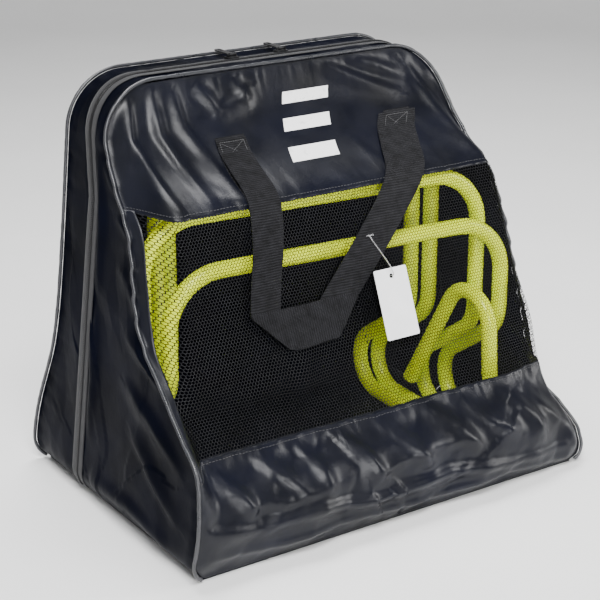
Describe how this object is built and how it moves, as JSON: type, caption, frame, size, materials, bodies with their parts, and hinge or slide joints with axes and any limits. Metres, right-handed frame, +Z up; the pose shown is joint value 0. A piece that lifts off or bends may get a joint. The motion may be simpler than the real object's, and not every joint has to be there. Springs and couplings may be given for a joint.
{
  "type": "training hurdle set in carry bag",
  "caption": "Zip carry bag with a mesh front window holding a nested set of bent-tube training hurdles.",
  "frame": {"origin": "centre of the bag's bounding box in X and Y, on the floor it stands on", "axes": "+X along the bag's length, to the right seen from its front; +Y from the front towards the back; +Z up"},
  "size_m": [0.5539, 0.3875, 0.4826],
  "materials": {
    "nylon": "coated nylon taffeta, satin",
    "mesh": "open knitted mesh",
    "piping": "vinyl covered cord, glossy",
    "webbing": "ribbed polypropylene webbing",
    "zip_tape": "woven zip tape",
    "zip_coil": "nylon coil",
    "zip_metal": "black lacquered zinc",
    "tube_yellow": "satin moulded plastic, fluorescent yellow-green",
    "end_cap": "moulded plastic plug",
    "tag_card": "white coated card",
    "tag_plastic": "clear nylon fastener",
    "print_white": "screen print"
  },
  "bodies": {
    "bag_back": {"back_panel": "nylon", "bottom_panel": "nylon", "back_gusset_left": "nylon", "back_gusset_top": "nylon", "back_gusset_right": "nylon", "back_piping": "piping", "zipper_tape_back": "zip_tape", "zipper_coil_back": "zip_coil", "zipper_end_stops": "zip_metal", "back_handle_patches": "webbing", "hurdle_1_caps": "end_cap", "hurdle_1_tube": "tube_yellow", "hurdle_2_caps": "end_cap", "hurdle_2_tube": "tube_yellow", "hurdle_3_caps": "end_cap", "hurdle_3_tube": "tube_yellow", "hurdle_4_caps": "end_cap", "hurdle_4_tube": "tube_yellow", "hurdle_5_caps": "end_cap", "hurdle_5_tube": "tube_yellow"},
    "front_cover": {"front_upper_panel": "nylon", "front_mesh_window": "mesh", "front_lower_panel": "nylon", "front_gusset_left": "nylon", "front_gusset_top": "nylon", "front_gusset_right": "nylon", "front_piping": "piping", "zipper_tape_front": "zip_tape", "zipper_coil_front": "zip_coil", "front_handle_patches": "webbing", "emblem_print": "print_white"},
    "front_handle": {"front_handle": "webbing"},
    "back_handle": {"back_handle": "webbing"},
    "tag": {"swing_tag": "tag_card", "tag_fastener": "tag_plastic"},
    "slider_left": {"zipper_slider_left": "zip_metal"},
    "slider_right": {"zipper_slider_right": "zip_metal"},
    "pull_left": {"zipper_pull_left": "zip_metal"},
    "pull_right": {"zipper_pull_right": "zip_metal"}
  },
  "joints": [
    {"name": "cover_fold", "type": "hinge", "parent": "bag_back", "child": "front_cover", "pos_m": [0, -0.19, 0], "axis": [1, 0, 0], "range_deg": [0, 80]},
    {"name": "front_handle_lift", "type": "hinge", "parent": "front_cover", "child": "front_handle", "pos_m": [0, 0.0245, 0.4046], "axis": [-1, 0, 0], "range_deg": [0, 135]},
    {"name": "back_handle_lift", "type": "hinge", "parent": "bag_back", "child": "back_handle", "pos_m": [0, 0.1541, 0.405], "axis": [1, 0, 0], "range_deg": [0, 150]},
    {"name": "tag_swing", "type": "hinge", "parent": "front_handle", "child": "tag", "pos_m": [0.024, -0.0805, 0.303], "axis": [-1, 0, 0], "range_deg": [0, 60]},
    {"name": "slider_left_run", "type": "slide", "parent": "bag_back", "child": "slider_left", "axis": [-1, 0, 0], "range_m": [0, 0.105]},
    {"name": "slider_right_run", "type": "slide", "parent": "bag_back", "child": "slider_right", "axis": [1, 0, 0], "range_m": [0, 0.105]},
    {"name": "pull_left_flip", "type": "hinge", "parent": "slider_left", "child": "pull_left", "pos_m": [-0.034, 0.1149, 0.4806], "axis": [1, 0, 0], "range_deg": [0, 150]},
    {"name": "pull_right_flip", "type": "hinge", "parent": "slider_right", "child": "pull_right", "pos_m": [0.034, 0.1149, 0.4806], "axis": [1, 0, 0], "range_deg": [0, 150]}
  ]
}
